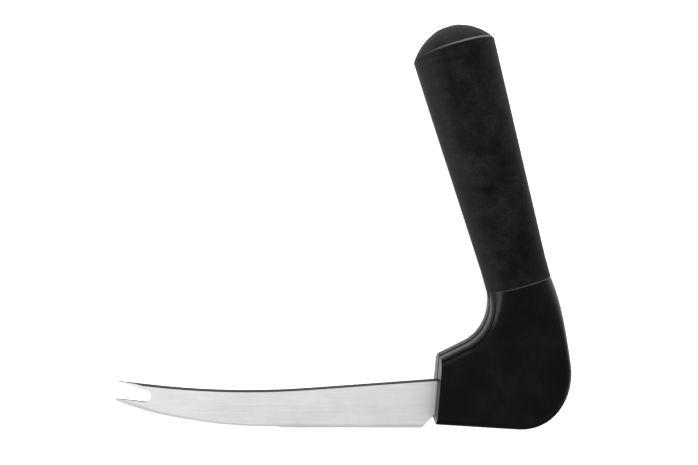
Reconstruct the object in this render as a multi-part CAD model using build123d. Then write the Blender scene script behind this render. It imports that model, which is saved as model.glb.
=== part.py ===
from build123d import *
import math
import os

# A slicing knife with an upright handle, lying on its side.
# While it is drawn, x runs along the straight cutting edge from the point to the handle,
# y rises from the cutting edge to the spine, and z is the thickness, with z = 0 the mid-plane.

# Blade: one stamping of flat steel
blade_thickness = 2.0
blade_reach = 143.5            # from the handle's front face to the lower tine's point
straight_edge = 76.0           # plain cutting edge, from the handle's front to the belly
lower_tine_height = 12.3       # of its point above the cutting edge
upper_tine_height = 21.1
upper_tine_set_back = 1.1      # how much shorter the upper tine is
spine_height = 22.0            # where the blade leaves the handle
spine_slope = 4.1              # degrees that the spine falls, going away from the handle
tip_slope = 6.3                # degrees that it rises again to the upper tine
spine_radius = 385.0
spine_round = 0.8              # rounding along the spine and the cut-off corner
heel_cut_length = 5.5          # corner cut off the edge, just before the handle
heel_cut_height = 5.9

# Grinding of the blade
edge_width = 0.1               # thickness left at the very edge
shoulder_width = 0.9           # thickness above the sharpening bevel
bevel_height = 1.6
grind_height = 9.0             # flat grind above the bevel
tine_grind_length = 12.0       # the tines thin out to points over this length
tine_point_width = 0.5
belly_sweep = 32.0             # degrees of belly that the grinding follows, to beyond the fork

# Slot of the forked tip
slot_length = 13.6             # from the lower tine's point to the centre of the slot's round end
slot_end_step = 2.1            # how far that centre is above the lower tine's point
slot_end_radius = 2.7
slot_rise = 11.4               # degrees that the slot rises towards the tip
slot_flare = 5.0               # degrees by which each side of it opens
slot_round = 0.3               # rounding of its rim

# Teeth, ground into the belly only
teeth_start = 67.0             # from the handle's front, measured along the edge
teeth_length = 58.5
tooth_pitch = 1.5
tooth_depth = 1.15
tooth_root_radius = 0.2
teeth_fade_in = 4              # teeth that grow to full depth next to the plain edge
teeth_fade_out = 12            # and that shrink again towards the fork
tooth_tilt = 24.0              # degrees by which the grinding wheel leans to one side

# Tang, the hidden end of the blade that the handle is moulded round
tang_length = 40.0
tang_bottom = 8.0
tang_top = 20.0
tang_corner = 3.5
tang_shoulder = 4.0            # full blade height goes this far into the handle
tang_hole_radius = 3.2         # the plastic locks through these holes
tang_hole_places = (14.0, 29.0)
pocket_reach = 20.0            # how far its pocket is cut on past the handle's front face

# Grip: a tapered oval round an axis that leans back over the blade
grip_lean = 15.55              # degrees from square to the cutting edge
joint_x = 37.8                 # centre of the joint between rubber and plastic
joint_y = 65.1
grip_length = 108.2            # from the joint to the rim
joint_width = 28.7             # of the plastic neck, in the plane of the blade
joint_depth = 23.5             # across it
rim_width = 36.9
rim_depth = 33.6
rim_round = 0.6                # rounding between the grip's side and the dome
sleeve_proud = 0.12            # the rubber stands this much out from the neck
straight_length = 9.0          # the rubber keeps one width up to this far above the joint
dome_height = 9.75
dome_radius = 24.0             # of the arc from rim to land
dome_land = 0.3                # flat ring of rubber round the boss
dome_sections = 5
gate_length = 1.9              # trimmed moulding gate on the back of the rubber
gate_width = 1.2
gate_height = 0.35
gate_from_joint = 12.5

# Core of the handle inside the rubber
rubber_wall = 4.0
boss_radius = 6.5              # its end shows as a disc on top of the dome
boss_proud = 0.2
core_shoulder = 9.0            # the thick part of the core ends this far below the rim
core_root = 2.0                # the stem starts this far down inside the neck
moulding_gap = 0.05            # between pieces moulded on one another

# Heel: the plastic body between blade and grip, outline in the plane of the blade
heel_half_depth = 9.75
front_x = -0.2                 # foot of the front face
front_lean = 5.0               # degrees that the front face leans back
toe_y = 3.6
nose_y = 32.3                  # sharp corner above the blade
ledge_rise = 26.0              # degrees from the nose up to the hollow for the hand
hollow_radius = 21.0
hollow_waist = 0.1             # how far the hollow cuts in behind the front edge of the joint
base_x = 48.5                  # corner between base and back, before it is rounded
base_y = 0.6
base_radius = 21.0
back_x = 60.9                  # widest corner of the back, before it is rounded
back_y = 20.0
back_radius = 28.0
shoulder_x = 54.9              # slight corner of the back under the joint
shoulder_y = 61.5
shoulder_radius = 20.0
heel_round = 4.5               # rounding between the sides and the back and base
hollow_round = 5.0             # rounding between the sides and the hollow
front_round = 0.4              # rounding between the sides and the front face

# Rebate round the hollow, which leaves each side as a raised panel
web_half_depth = 7.2
panel_inset = 1.1
panel_chamfer = 0.9

# Fine line round the hollow and the front where the two halves of the mould met
parting_width = 0.3
parting_depth = 0.2

# Neck, shaped by sections that fan out from the hollow's centre, in degrees below the level
middle_section_angle = 2.0
middle_section_half_depth = 10.9
middle_front_round = 7.0
middle_back_round = 8.5
upper_cut_angle = 22.5         # here the neck takes on the heel's own flat-sided section
lower_cut_angle = 24.0
oval_corner_share = 0.49       # of the depth: how round the corners of each oval are

# Share of the shorter run beside a corner that its rounding may take up
plain_share = 0.49
spine_share = 0.95
base_share = 0.54
back_share = 0.45
neck_run_share = 0.95          # of the back's straight run below the neck's last section
hollow_share = 0.98

FAR = 200.0                    # longer than anything on the knife
front_clear = 2.0              # the rebate runs out this far past the front face
NEAR = 0.01                    # closer than this counts as touching


def meeting_point(start, start_angle, end, end_angle):
    """Where two lines meet, each given by a point and its direction in degrees."""
    ax, ay = math.cos(math.radians(start_angle)), math.sin(math.radians(start_angle))
    bx, by = math.cos(math.radians(end_angle)), math.sin(math.radians(end_angle))
    along = ((end[0] - start[0]) * by - (end[1] - start[1]) * bx) / (ax * by - ay * bx)
    return (start[0] + along * ax, start[1] + along * ay)


def fitted_radius(wanted, before, corner, after, share=plain_share):
    """The wanted corner radius, or the largest that the two runs beside the corner leave room for."""
    first, second = math.dist(before, corner), math.dist(corner, after)
    cosine = ((before[0] - corner[0]) * (after[0] - corner[0])
              + (before[1] - corner[1]) * (after[1] - corner[1])) / (first * second)
    half_angle = math.acos(cosine) / 2
    return min(wanted, share * min(first, second) * math.tan(half_angle))


# Blade

belly_run = blade_reach - straight_edge
belly_radius = (belly_run ** 2 + lower_tine_height ** 2) / (2 * lower_tine_height)
upper_tip = (-blade_reach + upper_tine_set_back, upper_tine_height)
lower_tip = (-blade_reach, lower_tine_height)
spine_end = (0.0, spine_height)
slot_end = (-blade_reach + slot_length, lower_tine_height + slot_end_step)


def edge_place(distance):
    """Point on the cutting edge and the edge's turn in degrees, by distance from the handle."""
    if distance <= straight_edge:
        return -distance, 0.0, 0.0
    turn = (distance - straight_edge) / belly_radius
    x = -straight_edge - belly_radius * math.sin(turn)
    return x, belly_radius * (1 - math.cos(turn)), math.degrees(turn)


def tang_outline(grow=0.0):
    """Tang and the stretch of blade that goes into the handle, in the plane of the blade."""
    shoulder = Pos((tang_shoulder - pocket_reach) / 2, (spine_height + heel_cut_height) / 2) * Rectangle(
        tang_shoulder + pocket_reach + 2 * grow, spine_height - heel_cut_height + 2 * grow)
    tongue = Pos(tang_length / 2, (tang_bottom + tang_top) / 2) * RectangleRounded(
        tang_length + 2 * grow, tang_top - tang_bottom + 2 * grow, tang_corner + grow)
    outline = shoulder + tongue
    for place in tang_hole_places:
        outline -= Pos(place, (tang_bottom + tang_top) / 2) * Circle(tang_hole_radius - grow)
    return outline


def blade_outline():
    """The stamping seen from its side, before its slot and teeth are cut."""
    spine_corner = meeting_point(spine_end, spine_slope, upper_tip, -tip_slope)
    inside = tang_shoulder
    belly = TangentArc((-straight_edge, 0), lower_tip, tangent=(-1, 0))
    tip = Line(lower_tip, upper_tip)
    spine_radius_used = fitted_radius(spine_radius, upper_tip, spine_corner, spine_end, spine_share)
    spine = FilletPolyline(upper_tip, spine_corner, spine_end, radius=spine_radius_used)
    rest = Polyline(spine_end, (inside, spine_height), (inside, heel_cut_height), (0, heel_cut_height),
                    (-heel_cut_length, 0), (-straight_edge, 0))
    behind_front = Pos(FAR / 2, 0) * Rectangle(FAR, FAR)
    return make_face([belly, tip, spine, rest]) + (tang_outline() & behind_front)


def ground_edge_section(inset, level):
    """Wide face whose lower side is the cutting edge moved inwards, at one height above mid-plane."""
    radius = belly_radius - inset
    sweep_angle = math.radians(belly_sweep)
    centre = (-straight_edge, belly_radius)

    def on_arc(angle):
        return (centre[0] - radius * math.sin(angle), centre[1] - radius * math.cos(angle))

    arc = ThreePointArc(on_arc(0), on_arc(sweep_angle / 2), on_arc(sweep_angle))
    frame = Polyline(on_arc(sweep_angle), (-FAR, FAR), (FAR / 2, FAR), (FAR / 2, inset), on_arc(0))
    return Pos(0, 0, level) * make_face([arc, frame])


def grinding_envelope():
    """Everything that the flat grind and the sharpening bevel leave of the stamping."""
    half, shoulder, edge = blade_thickness / 2, shoulder_width / 2, edge_width / 2
    levels = [(bevel_height + grind_height, half), (bevel_height, shoulder), (0.0, edge)]
    sections = [ground_edge_section(inset, -level) for inset, level in levels]
    sections += [ground_edge_section(inset, level) for inset, level in reversed(levels)]
    return loft(sections, ruled=True)


def tine_points_envelope():
    """Seen from above: full thickness, then both tines thinning out to their points."""
    half, point = blade_thickness / 2 + NEAR, tine_point_width / 2
    start, end = -blade_reach + tine_grind_length, -blade_reach - blade_thickness
    outline = Polyline((end, point), (-blade_reach, point), (start, half), (FAR, half),
                       (FAR, -half), (start, -half), (-blade_reach, -point), (end, -point), close=True)
    plan = Plane(origin=(0, 0, 0), x_dir=(1, 0, 0), z_dir=(0, -1, 0))
    return extrude(plan * make_face(outline), amount=FAR / 2, both=True)


def fork_slot():
    """The wedge-shaped slot with a round end that makes the forked tip."""
    flare = math.radians(slot_flare)
    length = 2 * slot_length
    tangent_x, tangent_y = slot_end_radius * math.sin(flare), slot_end_radius * math.cos(flare)
    mouth = tangent_y + length * math.tan(flare)
    wedge = Polyline((-tangent_x, tangent_y), (-tangent_x - length, mouth),
                     (-tangent_x - length, -mouth), (-tangent_x, -tangent_y), close=True)
    slot = make_face(wedge) + Circle(slot_end_radius)
    place = Pos(*slot_end) * Rot(0, 0, -slot_rise)
    return extrude(place * slot, amount=blade_thickness, both=True)


def tooth_gaps():
    """One leaning notch for each gap between two teeth, along the belly."""
    count = int(teeth_length / tooth_pitch)
    gaps = []
    for number in range(count):
        x, y, turn = edge_place(teeth_start + (number + 0.5) * tooth_pitch)
        fade = min(1.0, (number + 1) / teeth_fade_in, (count - number) / teeth_fade_out)
        depth = tooth_depth * fade
        half, below = tooth_pitch / 2, tooth_depth / 2
        spread = half * (depth + below) / depth
        notch = make_face(Polyline((0, depth), (spread, -below), (-spread, -below), close=True))
        notch = fillet(notch.vertices().group_by(Axis.Y)[-1], tooth_root_radius * fade)
        leaning = Rot(0, 0, -turn) * Rot(tooth_tilt, 0, 0)
        gaps.append(Pos(x, y) * leaning * extrude(notch, amount=2 * blade_thickness, both=True))
    return gaps


def face_edges(plate, half_depth):
    """Edges that lie in either flat side of a plate."""
    return plate.edges().filter_by(lambda e: abs(abs(e.center().Z) - half_depth) < NEAR)


def make_blade():
    half = blade_thickness / 2
    plate = extrude(blade_outline(), amount=half, both=True)
    outer_edges = face_edges(plate, half)
    spine = outer_edges.filter_by(lambda e: upper_tip[0] < e.center().X < 0 and e.center().Y > slot_end[1])
    cut_corner = outer_edges.filter_by(
        lambda e: -heel_cut_length < e.center().X < 0 < e.center().Y < heel_cut_height)
    plate = fillet(spine + cut_corner, spine_round) - fork_slot()
    plate = fillet(face_edges(plate, half).filter_by(GeomType.CIRCLE).sort_by(Axis.X)[:2], slot_round)
    return (plate & grinding_envelope() & tine_points_envelope()) - tooth_gaps()


# Grip axis: its own z runs up the grip, its own x points forward, over the blade

grip_axis_place = Location(Plane(
    origin=(joint_x, joint_y, 0),
    x_dir=(math.cos(math.radians(grip_lean)), math.sin(math.radians(grip_lean)), 0),
    z_dir=(-math.sin(math.radians(grip_lean)), math.cos(math.radians(grip_lean)), 0)))


def oval(width, depth, height):
    """Oval section square to the grip's axis, at a height above the joint."""
    return Pos(0, 0, height) * RectangleRounded(width, depth, oval_corner_share * depth)


def grip_size(height):
    """Width and depth of the grip at a height above the joint, straight at first and then tapered."""
    share = max(0.0, height - straight_length) / (grip_length - straight_length)
    return (joint_width + share * (rim_width - joint_width),
            joint_depth + share * (rim_depth - joint_depth))


def dome():
    """Rounded end above the rim: ovals that shrink along an arc and end round."""
    profile = RadiusArc((rim_width / 2, 0), (boss_radius + dome_land, dome_height), -dome_radius)
    ovals = []
    for step in range(dome_sections):
        share = step / (dome_sections - 1)
        point = profile @ share
        roundness = share + (1 - share) * rim_depth / rim_width
        ovals.append(oval(2 * point.X, 2 * point.X * roundness, grip_length + point.Y))
    return loft(ovals)


def core(gap=0.0):
    """Stem and boss of the handle's plastic, inside the rubber."""
    top = grip_length - core_shoulder
    low, high = grip_size(0), grip_size(top)
    trim = 2 * (rubber_wall - gap)
    stem = loft([oval(low[0] - trim, low[1] - trim, -core_root),
                 oval(high[0] - trim, high[1] - trim, top + gap)])
    boss_height = grip_length + dome_height + boss_proud - top
    return stem + Pos(0, 0, top + boss_height / 2) * Cylinder(boss_radius + gap, boss_height)


def sleeve_gate():
    """Trimmed moulding gate, a small pip on the back of the rubber."""
    width = grip_size(gate_from_joint)[0] + 2 * sleeve_proud
    return Pos(width / 2, 0, gate_from_joint) * Box(2 * gate_height, gate_width, gate_length)


def make_sleeve():
    width, depth = joint_width + 2 * sleeve_proud, joint_depth + 2 * sleeve_proud
    skirt = loft([oval(width, depth, moulding_gap), oval(width, depth, straight_length)])
    grip = loft([oval(width, depth, straight_length), oval(rim_width, rim_depth, grip_length)])
    outer = skirt + grip + dome()
    rim = outer.edges().filter_by(lambda e: abs(e.center().Z - grip_length) < NEAR)
    outer = fillet(rim, rim_round) + sleeve_gate()
    return grip_axis_place * (outer - core(moulding_gap))


# Heel

lean = math.radians(grip_lean)
joint_front = (joint_x - joint_width / 2 * math.cos(lean), joint_y - joint_width / 2 * math.sin(lean))
joint_back = (joint_x + joint_width / 2 * math.cos(lean), joint_y + joint_width / 2 * math.sin(lean))
nose = (front_x + (nose_y - toe_y) * math.tan(math.radians(front_lean)), nose_y)
toe = (front_x, toe_y)
base = (base_x, base_y)
back = (back_x, back_y)
shoulder = (shoulder_x, shoulder_y)
hollow_top = (joint_front[0] + hollow_waist * math.cos(lean),
              joint_front[1] + hollow_waist * math.sin(lean))
hollow_corner = meeting_point(hollow_top, grip_lean - 90, nose, ledge_rise)
hollow_radius_used = fitted_radius(hollow_radius, hollow_top, hollow_corner, nose, hollow_share)


def rounded_corner_centre(before, corner, after, radius):
    """Centre of the arc that rounds a corner."""
    first, second = math.dist(before, corner), math.dist(corner, after)
    toward = [(before[i] - corner[i]) / first + (after[i] - corner[i]) / second for i in range(2)]
    length = math.hypot(*toward)
    reach = radius / math.sqrt(1 - (length / 2) ** 2)
    return tuple(corner[i] + reach * toward[i] / length for i in range(2))


hollow_centre = rounded_corner_centre(hollow_top, hollow_corner, nose, hollow_radius_used)
back_angle = math.degrees(math.atan2(back[1] - shoulder[1], back[0] - shoulder[0]))
neck_end = meeting_point(hollow_centre, -lower_cut_angle, back, back_angle)
back_radius_used = min(fitted_radius(back_radius, base, back, shoulder, back_share),
                       fitted_radius(back_radius, base, back, neck_end, neck_run_share))


def heel_outline():
    """The plastic body seen from its side."""
    hollow = FilletPolyline(hollow_top, hollow_corner, nose, radius=hollow_radius_used)
    front = Line(nose, toe)
    rear = FilletPolyline(toe, base, back, shoulder, joint_back,
                          radius=[fitted_radius(base_radius, toe, base, back, base_share),
                                  back_radius_used,
                                  fitted_radius(shoulder_radius, back, shoulder, joint_back)])
    return make_face([hollow, front, rear, Line(joint_back, hollow_top)])


def panel_cover(inset, front_inset, level):
    """All that lies behind the hollow and the front face once each is moved inwards."""
    turned = math.radians(90 - grip_lean)
    rise = math.radians(ledge_rise)
    slant = math.radians(front_lean)
    start = (hollow_top[0] + inset * math.sin(turned), hollow_top[1] + inset * math.cos(turned))
    ledge_point = (nose[0] + inset * math.sin(rise), nose[1] - inset * math.cos(rise))
    front_point = (toe[0] + front_inset * math.cos(slant), toe[1] - front_inset * math.sin(slant))
    front_angle = 90 - front_lean
    corner = meeting_point(start, grip_lean - 90, ledge_point, ledge_rise)
    inner_nose = meeting_point(ledge_point, ledge_rise, front_point, front_angle)
    foot = meeting_point(front_point, front_angle, (0, -FAR), 0)
    top = meeting_point(start, grip_lean - 90, (0, FAR), 0)
    rim = FilletPolyline(top, corner, inner_nose, radius=hollow_radius_used + inset)
    rest = Polyline(inner_nose, foot, (FAR, -FAR), (FAR, FAR), top)
    return Pos(0, 0, level) * make_face([rim, rest])


def rebate():
    """Cut on one side that leaves the web round the hollow lower than the panel."""
    outer = heel_half_depth + 1
    edge = heel_half_depth - panel_chamfer
    rise = outer - edge
    wall = [panel_cover(panel_inset, -front_clear, level) for level in (web_half_depth, edge)]
    bevel = [wall[1], panel_cover(panel_inset + rise, -front_clear, outer)]
    cover = loft(wall, ruled=True) + loft(bevel, ruled=True)
    stock = Pos(0, 0, (web_half_depth + outer) / 2) * Box(FAR, FAR, outer - web_half_depth)
    return stock - cover


def parting_line():
    """Shallow groove along the mid-plane of the hollow and the front face."""
    stock = Box(FAR, FAR, parting_width)
    return stock - extrude(panel_cover(parting_depth, parting_depth, 0), amount=parting_width, both=True)


def heel_block():
    """Flat-sided body with rounded edges, cut off sharp at the joint."""
    block = extrude(heel_outline(), amount=heel_half_depth, both=True)
    rear_rims = face_edges(block, heel_half_depth).filter_by(
        lambda e: e.center().X > joint_back[0] or e.center().Y < toe_y)
    block = fillet(rear_rims, heel_round)
    hollow_rims = face_edges(block, heel_half_depth).filter_by(
        lambda e: e.center().X < hollow_corner[0] and e.center().Y > nose_y)
    block = fillet(hollow_rims, hollow_round)
    front_rims = face_edges(block, heel_half_depth).filter_by(
        lambda e: e.center().X < nose[0] and e.center().Y > toe_y)
    return fillet(front_rims, front_round)


def radial_plane(angle):
    """Plane through the hollow's centre and square to its curve, by degrees below the level."""
    turn = math.radians(angle)
    return Plane(origin=(*hollow_centre, 0), x_dir=(math.cos(turn), -math.sin(turn), 0),
                 z_dir=(math.sin(turn), math.cos(turn), 0))


def middle_section():
    """Rounded section half way down the neck, from the hollow to the back."""
    far_point = meeting_point(hollow_centre, -middle_section_angle, back, back_angle)
    width = math.dist(hollow_centre, far_point) - hollow_radius_used
    face = Pos(hollow_radius_used + width / 2, 0) * Rectangle(width, 2 * middle_section_half_depth)
    face = fillet(face.vertices().group_by(Axis.X)[0], middle_front_round)
    face = fillet(face.vertices().group_by(Axis.X)[-1], middle_back_round)
    return radial_plane(middle_section_angle) * face


def section_of(block, angle):
    """The block's own section at an angle round the hollow."""
    half_plane = Pos(FAR / 2, 0) * Rectangle(FAR, FAR)
    return (block & (radial_plane(angle) * half_plane)).faces()[0]


def make_handle_body():
    block = heel_block()
    joint_section = grip_axis_place * oval(joint_width, joint_depth, 0)
    neck = loft([joint_section.faces()[0], middle_section().faces()[0],
                 section_of(block, upper_cut_angle), section_of(block, lower_cut_angle)])
    heel = neck + split(block, bisect_by=radial_plane(lower_cut_angle), keep=Keep.BOTTOM)
    heel = heel - [rebate(), mirror(rebate(), about=Plane.XY), parting_line()]
    pocket = extrude(tang_outline(moulding_gap), amount=blade_thickness / 2 + moulding_gap, both=True)
    return heel + grip_axis_place * core() - pocket


def main():
    os.makedirs("parts", exist_ok=True)
    pieces = {"blade": make_blade(), "handle_body": make_handle_body(), "grip_sleeve": make_sleeve()}
    box = Compound(children=[piece.solids()[0] for piece in pieces.values()]).bounding_box()
    to_origin = Pos(-box.center().X, -box.center().Y, -box.min.Z)
    for name, piece in pieces.items():
        placed = to_origin * piece
        print(name, round(placed.volume, 1), placed.is_valid, len(placed.solids()), placed.bounding_box())
        export_step(placed, "parts/" + name + ".step")


main()
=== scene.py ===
# %% [markdown]
# # A slicing knife with an upright grip
# The knife lies on its side on a white table and is seen from straight above. Its three pieces, the
# steel blade, the black plastic body and the rubber sleeve, come in already shaped. This lesson gives
# them their finishes, and then builds the table, the light and the camera.

# %% Load the knife
import bpy
import math
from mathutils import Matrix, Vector


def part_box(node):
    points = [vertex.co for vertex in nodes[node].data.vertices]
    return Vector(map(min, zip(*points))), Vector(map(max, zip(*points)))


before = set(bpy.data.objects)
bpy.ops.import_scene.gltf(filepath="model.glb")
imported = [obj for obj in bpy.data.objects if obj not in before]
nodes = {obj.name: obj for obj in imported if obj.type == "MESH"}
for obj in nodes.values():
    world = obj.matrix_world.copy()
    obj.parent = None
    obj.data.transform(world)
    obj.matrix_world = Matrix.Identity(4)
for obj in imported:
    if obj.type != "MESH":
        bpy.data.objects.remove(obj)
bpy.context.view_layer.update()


def in_mm(lengths):
    return [round(1000 * length, 1) for length in lengths]


print("pieces:", sorted(nodes))

# %% [markdown]
# ## Where things are
# Every position is in metres. Two places are enough to find everything else: the point of the blade and
# its cutting edge, which are the left and lower sides of the blade's box. The blade lies level, so the
# middle of that box is also the middle plane of the handle.

# %% Measure the blade
blade_low, blade_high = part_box("blade")
mid_height = (blade_low[2] + blade_high[2]) / 2
point_x = blade_low[0]
edge_y = blade_low[1]
print("middle plane, point and edge in mm:", in_mm((mid_height, point_x, edge_y)))

# %% [markdown]
# ## The camera
# The thick end of the grip rises towards the lens and looks larger than it is, which tells how close the
# lens was: about 27 cm above the blade. At that distance a strip of 314 mm fits across the picture. The
# lens looks straight down at a spot a little above the middle of the picture, and a small vertical
# shift moves the frame down to hold the whole knife.

# %% Place the camera
camera_height = 0.2745
view_width = 0.3141
sensor_width = 36.0
from_point, from_edge = 0.10525, 0.100665
picture_pixels, shift_pixels = 698, -28.5

camera = bpy.data.objects.new("camera", bpy.data.cameras.new("camera"))
bpy.context.scene.collection.objects.link(camera)
camera.location = (point_x + from_point, edge_y + from_edge, mid_height + camera_height)
camera.data.sensor_width = sensor_width
camera.data.lens = sensor_width * camera_height / view_width
camera.data.shift_y = shift_pixels / picture_pixels
bpy.context.scene.camera = camera
print("lens:", round(camera.data.lens, 1), "mm")

# %% [markdown]
# ## Small tools for building materials
# A material is a tree of nodes, and each socket of a node takes either a plain value or another node's
# output. `feed` hides that difference, and `add_node` uses it to make a node and fill it in one line.

# %% Helpers: a node and its sockets
def feed(tree, socket, value):
    """Join another node's output to a socket, or set a plain value on it."""
    if isinstance(value, bpy.types.NodeSocket):
        tree.links.new(value, socket)
    else:
        socket.default_value = value


def add_node(tree, kind, inputs=None, **settings):
    """Add a node, change its settings, and feed the inputs that are given."""
    node = tree.nodes.new(kind)
    for name, value in settings.items():
        setattr(node, name, value)
    for name, value in (inputs or {}).items():
        feed(tree, node.inputs[name], value)
    return node


def start_material(name):
    material = bpy.data.materials.new(name)
    material.use_nodes = True
    tree = material.node_tree
    return material, tree, tree.nodes["Principled BSDF"]


# %% [markdown]
# Six kinds of node do nearly all the work here, so each gets a helper that returns its output: noise,
# sums, a change of range, a mix, a ramp of colours, and a bump that tilts the surface.

# %% Helpers: noise, sums, ranges, mixes, ramps and bumps
def noise(tree, vector, scale, detail, roughness=0.5, distortion=0.0):
    node = add_node(tree, "ShaderNodeTexNoise",
                    {"Vector": vector, "Scale": scale, "Detail": detail,
                     "Roughness": roughness, "Distortion": distortion})
    return node.outputs["Fac"]


def calculate(tree, operation, *values):
    return add_node(tree, "ShaderNodeMath", dict(enumerate(values)), operation=operation).outputs[0]


def remap(tree, value, from_low, from_high, to_low=0.0, to_high=1.0, shape="LINEAR"):
    node = add_node(tree, "ShaderNodeMapRange",
                    {"Value": value, "From Min": from_low, "From Max": from_high,
                     "To Min": to_low, "To Max": to_high}, interpolation_type=shape)
    return node.outputs["Result"]


def mix(tree, factor, first, second, kind="RGBA", blend="MIX"):
    node = add_node(tree, "ShaderNodeMix", {"Factor": factor, "A": first, "B": second},
                    data_type=kind, blend_type=blend)
    return node.outputs["Result"]


def ramp(tree, factor, stops):
    node = add_node(tree, "ShaderNodeValToRGB", {"Fac": factor})
    elements = node.color_ramp.elements
    for element, stop in ((elements[0], stops[0]), (elements[1], stops[-1])):
        element.position, element.color = stop
    for position, colour in stops[1:-1]:
        elements.new(position).color = colour
    return node.outputs["Color"]


def bump(tree, shader, height, strength, distance):
    node = add_node(tree, "ShaderNodeBump", {"Strength": strength, "Distance": distance, "Height": height})
    tree.links.new(node.outputs["Normal"], shader.inputs["Normal"])


def grey(level):
    return (level, level, level, 1.0)


# %% [markdown]
# ## Speckle: an effect that several finishes share
# Moulded plastic and rubber both carry a fine, even grain from the mould, and both gather a little pale
# dust in soft patches. A node group holds the recipe once. It puts out the height of the grain, the
# mask of the patches, both together as a mottling, and a mask of single specks. Each material says how
# fine its grain is and how small its patches are.

# %% Build the speckle group
def make_speckle():
    group = bpy.data.node_groups.new("speckle", "ShaderNodeTree")
    for name, kind in (("Vector", "NodeSocketVector"), ("Grain scale", "NodeSocketFloat"),
                       ("Patch scale", "NodeSocketFloat")):
        group.interface.new_socket(name, in_out="INPUT", socket_type=kind)
    for name in ("Grain", "Patches", "Mottle", "Specks"):
        group.interface.new_socket(name, in_out="OUTPUT", socket_type="NodeSocketFloat")
    given = add_node(group, "NodeGroupInput").outputs

    grain = noise(group, given["Vector"], given["Grain scale"], detail=3.0, roughness=0.65)
    clouds = noise(group, given["Vector"], given["Patch scale"], detail=5.0, roughness=0.6,
                   distortion=0.4)
    patches = remap(group, clouds, 0.28, 0.76, shape="SMOOTHSTEP")
    mottle = calculate(group, "MULTIPLY", remap(group, grain, 0.28, 0.78), patches)
    cells = add_node(group, "ShaderNodeTexVoronoi",
                     {"Vector": given["Vector"],
                      "Scale": calculate(group, "MULTIPLY", given["Grain scale"], 0.5)})
    specks = remap(group, cells.outputs["Distance"], 0.16, 0.05)
    add_node(group, "NodeGroupOutput",
             {"Grain": grain, "Patches": patches, "Mottle": mottle, "Specks": specks})
    print("speckle group with", len(group.nodes), "nodes")
    return group


speckle = make_speckle()


def add_speckle(tree, place, grain_scale, patch_scale):
    node = add_node(tree, "ShaderNodeGroup",
                    {"Vector": place.outputs["Object"], "Grain scale": grain_scale,
                     "Patch scale": patch_scale}, node_tree=speckle)
    return node.outputs


# %% [markdown]
# ## The blade's steel
# The flat sides are satin: a belt ran along the blade and left fine, long scratches. They could be drawn
# one by one, but noise does it at once when its coordinates are stretched: fine across the blade and
# coarse along it. Softer clouds of tone, as from wiping, are mixed with them.

# %% Scratches and clouds
scratches_along, scratches_across = 45.0, 1500.0


def satin_pattern(tree, place):
    stretch = (scratches_along, scratches_across, scratches_across)
    along_blade = add_node(tree, "ShaderNodeMapping", {"Vector": place.outputs["Object"], "Scale": stretch})
    scratches = noise(tree, along_blade.outputs["Vector"], scale=1.0, detail=4.0, roughness=0.7)
    clouds = noise(tree, place.outputs["Object"], scale=55.0, detail=6.0, roughness=0.62, distortion=0.3)
    return scratches, mix(tree, 0.5, scratches, clouds, kind="FLOAT")


# %% [markdown]
# One material covers the whole blade, so the direction that the surface faces has to tell its parts
# apart. Shade is painted into the colour by that direction: the sides face straight up or down and stay
# full bright, the ground bevel leans away a little and is painted a shade darker, and the upright
# blanked edges are painted dark. What faces away from the cutting edge is the rounded spine, which is
# painted near black as shade.

# %% Bevel, edges and spine
# Painted shade by the way a face points: the bevel a shade darker, the upright edges dark.
painted_facing_shade = ((0.55, grey(0.16)), (0.93, grey(0.30)), (0.955, grey(0.84)),
               (0.985, grey(0.88)), (0.993, grey(1.0)), (1.0, grey(1.0)))
# Painted shade: the spine is made near black.
painted_spine_shade = grey(0.05)


def paint_shade_by_facing(tree, place, colour):
    facing = add_node(tree, "ShaderNodeSeparateXYZ", {"Vector": place.outputs["Normal"]})
    level = calculate(tree, "ABSOLUTE", facing.outputs["Z"])
    shaded = mix(tree, 1.0, colour, ramp(tree, level, painted_facing_shade), blend="MULTIPLY")
    towards_spine = remap(tree, facing.outputs["Y"], 0.02, 0.12)
    return mix(tree, towards_spine, shaded, painted_spine_shade)


# %% Satin steel
steel_tones = ((0.36, (0.66, 0.66, 0.657, 1)), (0.64, (0.76, 0.76, 0.757, 1)))


def make_blade_steel():
    material, tree, shader = start_material("satin_steel")
    place = add_node(tree, "ShaderNodeTexCoord")
    scratches, pattern = satin_pattern(tree, place)
    colour = paint_shade_by_facing(tree, place, ramp(tree, pattern, steel_tones))
    feed(tree, shader.inputs["Base Color"], colour)
    feed(tree, shader.inputs["Roughness"], remap(tree, scratches, 0.0, 1.0, to_low=0.68, to_high=0.60))
    bump(tree, shader, scratches, strength=0.25, distance=0.00003)
    shader.inputs["Metallic"].default_value = 1.0
    return material


def dress(node_name, material):
    mesh = nodes[node_name].data
    mesh.materials.clear()
    mesh.materials.append(material)
    print(node_name, "wears", material.name, "with", len(material.node_tree.nodes), "nodes")


dress("blade", make_blade_steel())

# %% [markdown]
# ## Where the grip is
# The next two finishes change along the grip. The joint between plastic and rubber lies at its foot, and
# the grip leans back over the blade from there, so a point and a direction describe it.

# %% Measure the grip
lean = math.radians(15.55)
grip_way = Vector((-math.sin(lean), math.cos(lean), 0.0))
joint_from_point, joint_from_edge = 0.1813, 0.0651
joint_centre = Vector((point_x + joint_from_point, edge_y + joint_from_edge, mid_height))
print("joint in mm:", in_mm(joint_centre), "lean:", round(math.degrees(lean), 2), "degrees")

# %% [markdown]
# ## The body's plastic
# The heel and neck are a hard black moulding: deep black, with the low sheen of a finely eroded mould
# and faint greyish rub marks on the flat sides. Dark plastic is mostly what it reflects, so the grain in
# the bump and the change in roughness matter as much as the colour. Two places are duller than the rest.
# One is the parting line, a narrow band round the middle plane that ends below the grip. The other is
# the foot of the heel, which rubs on the board in use.

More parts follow.
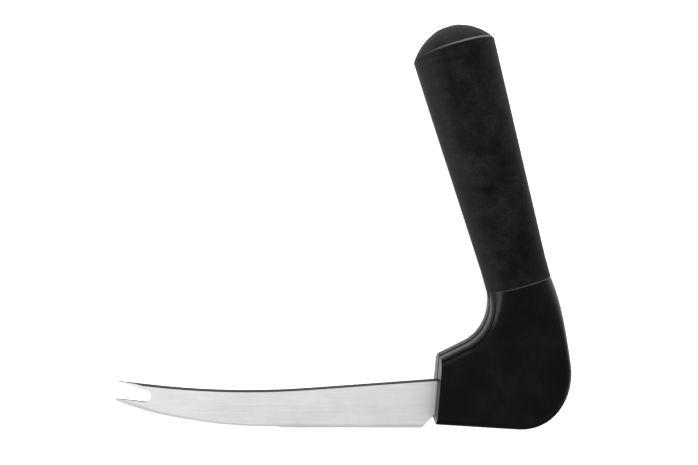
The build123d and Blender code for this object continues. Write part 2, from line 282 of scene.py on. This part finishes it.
# %% Where the plastic is dull
def band(tree, value, middle, half_width, fade):
    """1 where the value is within half_width of the middle, fading to 0 beyond."""
    away = calculate(tree, "ABSOLUTE", calculate(tree, "SUBTRACT", value, middle))
    return remap(tree, away, half_width, half_width + fade, to_low=1.0, to_high=0.0, shape="SMOOTHSTEP")


def dull_places(tree, place):
    grip_starts = joint_centre.y + 0.010
    spot = add_node(tree, "ShaderNodeSeparateXYZ", {"Vector": place.outputs["Object"]})
    facing = add_node(tree, "ShaderNodeSeparateXYZ", {"Vector": place.outputs["Normal"]})
    middle = band(tree, spot.outputs["Z"], mid_height, half_width=0.0006, fade=0.0008)
    below_grip = remap(tree, spot.outputs["Y"], grip_starts, grip_starts + 0.004, to_low=1.0, to_high=0.0)
    foot = remap(tree, facing.outputs["Y"], -0.10, -0.40)
    return calculate(tree, "MAXIMUM", calculate(tree, "MULTIPLY", middle, below_grip), foot)


# %% Moulded plastic
black_plastic = grey(0.0007)
rub_marks = (0.0075, 0.0073, 0.0071, 1)


def make_body_plastic():
    material, tree, shader = start_material("moulded_plastic")
    place = add_node(tree, "ShaderNodeTexCoord")
    marks = add_speckle(tree, place, grain_scale=1900.0, patch_scale=70.0)
    colour = mix(tree, marks["Mottle"], black_plastic, rub_marks)
    sheen = remap(tree, marks["Patches"], 0.0, 1.0, to_low=0.27, to_high=0.34)
    feed(tree, shader.inputs["Base Color"], colour)
    feed(tree, shader.inputs["Roughness"], mix(tree, dull_places(tree, place), sheen, 1.0, kind="FLOAT"))
    bump(tree, shader, marks["Grain"], strength=0.35, distance=0.00004)
    shader.inputs["Specular IOR Level"].default_value = 0.08
    return material


dress("handle_body", make_body_plastic())

# %% [markdown]
# ## The grip's rubber
# The sleeve is a soft rubber. It scatters light instead of mirroring it, so it looks a little greyer
# than the plastic, and skin oil and dust leave pale mottling and tiny specks on it. A pale colour is
# painted as a highlight along the rim under the dome and the edge at the joint. Both lines are narrow
# bands of the height up the grip, which is a dot product with the grip's direction, and the painted
# highlight fades towards the blade's side.

# %% Where the painted highlights lie
rim_height = 0.1082
above_edge = 0.0001
fade_starts, fade_ends = -0.016, 0.004
across_grip = grip_way.cross(Vector((0, 0, 1)))


# Mask of the painted highlight lines along the rim and the joint edge, faded towards the blade's side.
def painted_edge_highlight_mask(tree, place):
    from_joint = add_node(tree, "ShaderNodeVectorMath",
                          {0: place.outputs["Object"], 1: joint_centre}, operation="SUBTRACT")

    def reach(direction):
        return add_node(tree, "ShaderNodeVectorMath", {0: from_joint.outputs["Vector"], 1: direction},
                        operation="DOT_PRODUCT").outputs["Value"]

    height = reach(grip_way)
    rim = band(tree, height, rim_height + above_edge, half_width=0.0001, fade=0.0005)
    joint = band(tree, height, above_edge, half_width=0.00002, fade=0.00022)
    far_side = remap(tree, reach(across_grip), fade_starts, fade_ends)
    return calculate(tree, "MULTIPLY", calculate(tree, "MAXIMUM", rim, joint), far_side)


# %% Soft rubber
black_rubber = grey(0.0004)
dust = (0.0230, 0.0226, 0.0222, 1)
dust_specks = (0.045, 0.043, 0.042, 1)
# Painted highlight colour for the rim and joint lines.
painted_edge_highlight = (0.13, 0.127, 0.125, 1)


def make_grip_rubber():
    material, tree, shader = start_material("soft_rubber")
    place = add_node(tree, "ShaderNodeTexCoord")
    marks = add_speckle(tree, place, grain_scale=2100.0, patch_scale=95.0)
    dusty = mix(tree, marks["Mottle"], black_rubber, dust)
    few_specks = calculate(tree, "MULTIPLY", marks["Specks"], marks["Patches"])
    speckled = mix(tree, few_specks, dusty, dust_specks)
    # Mixes in the painted highlight along the rim and the joint.
    highlighted = mix(tree, painted_edge_highlight_mask(tree, place), speckled, painted_edge_highlight)
    feed(tree, shader.inputs["Base Color"], highlighted)
    roughness = remap(tree, marks["Patches"], 0.0, 1.0, to_low=0.56, to_high=0.72)
    feed(tree, shader.inputs["Roughness"], roughness)
    bump(tree, shader, marks["Grain"], strength=0.4, distance=0.00006)
    shader.inputs["Specular IOR Level"].default_value = 0.08
    return material


dress("grip_sleeve", make_grip_rubber())

# %% [markdown]
# ## The table
# The ground is plain white right up to the knife's outline, as on a lit table. A large sheet that glows a
# little keeps it white under the knife too, and it takes only a faint shadow.

# %% A pale lit table
table_width = 4.0


def make_table():
    bpy.ops.object.select_all(action="DESELECT")
    bpy.ops.mesh.primitive_plane_add(size=table_width, location=(0, 0, 0))
    table = bpy.context.object
    table.name = "table"
    material, tree, shader = start_material("white_table")
    place = add_node(tree, "ShaderNodeTexCoord")
    mottling = noise(tree, place.outputs["Object"], scale=300.0, detail=2.0)
    feed(tree, shader.inputs["Base Color"], mix(tree, mottling, grey(0.90), grey(0.92)))
    shader.inputs["Roughness"].default_value = 0.9
    shader.inputs["Specular IOR Level"].default_value = 0.0
    shader.inputs["Emission Color"].default_value = grey(1.0)
    shader.inputs["Emission Strength"].default_value = 0.55
    table.data.materials.append(material)
    return table


print("table is", make_table().dimensions.x, "m wide")

# %% [markdown]
# ## The light
# Soft studio light. An even, pale surround does most of the work: the satin steel spreads it into a
# plain light grey, while the black plastic gives back so little of it that it stays black except at its
# rims, where any surface turns into a mirror of the table.

# %% The surround
world = bpy.data.worlds.new("studio")
world.use_nodes = True
surround = world.node_tree.nodes["Background"]
surround.inputs["Color"].default_value = grey(1.0)
surround.inputs["Strength"].default_value = 0.80
bpy.context.scene.world = world
bpy.context.scene.view_settings.view_transform = "Standard"
print("surround strength:", round(surround.inputs["Strength"].default_value, 2))

# %% [markdown]
# Three soft boxes give the surround a direction. A low one on the left draws the bright side of the
# grip, one behind the knife catches the step round the hollow, and a weak one overhead evens it out.
# All of them point at the middle of the knife.

# %% Soft boxes
knife_middle = Vector((0.0, 0.0, mid_height))


def add_soft_box(name, where, size, watts):
    lamp = bpy.data.lights.new(name, "AREA")
    lamp.shape = "SQUARE"
    lamp.size = size
    lamp.energy = watts
    box = bpy.data.objects.new(name, lamp)
    bpy.context.scene.collection.objects.link(box)
    box.location = where
    towards = knife_middle - Vector(where)
    box.rotation_euler = towards.to_track_quat("-Z", "Y").to_euler()
    print(name, "is", round(towards.length, 2), "m away")


add_soft_box("left_box", (-0.85, -0.05, 0.16), size=0.5, watts=8.0)
add_soft_box("back_box", (0.05, 0.85, 0.40), size=0.6, watts=8.0)
add_soft_box("top_box", (-0.15, 0.05, 1.1), size=1.2, watts=0.6)
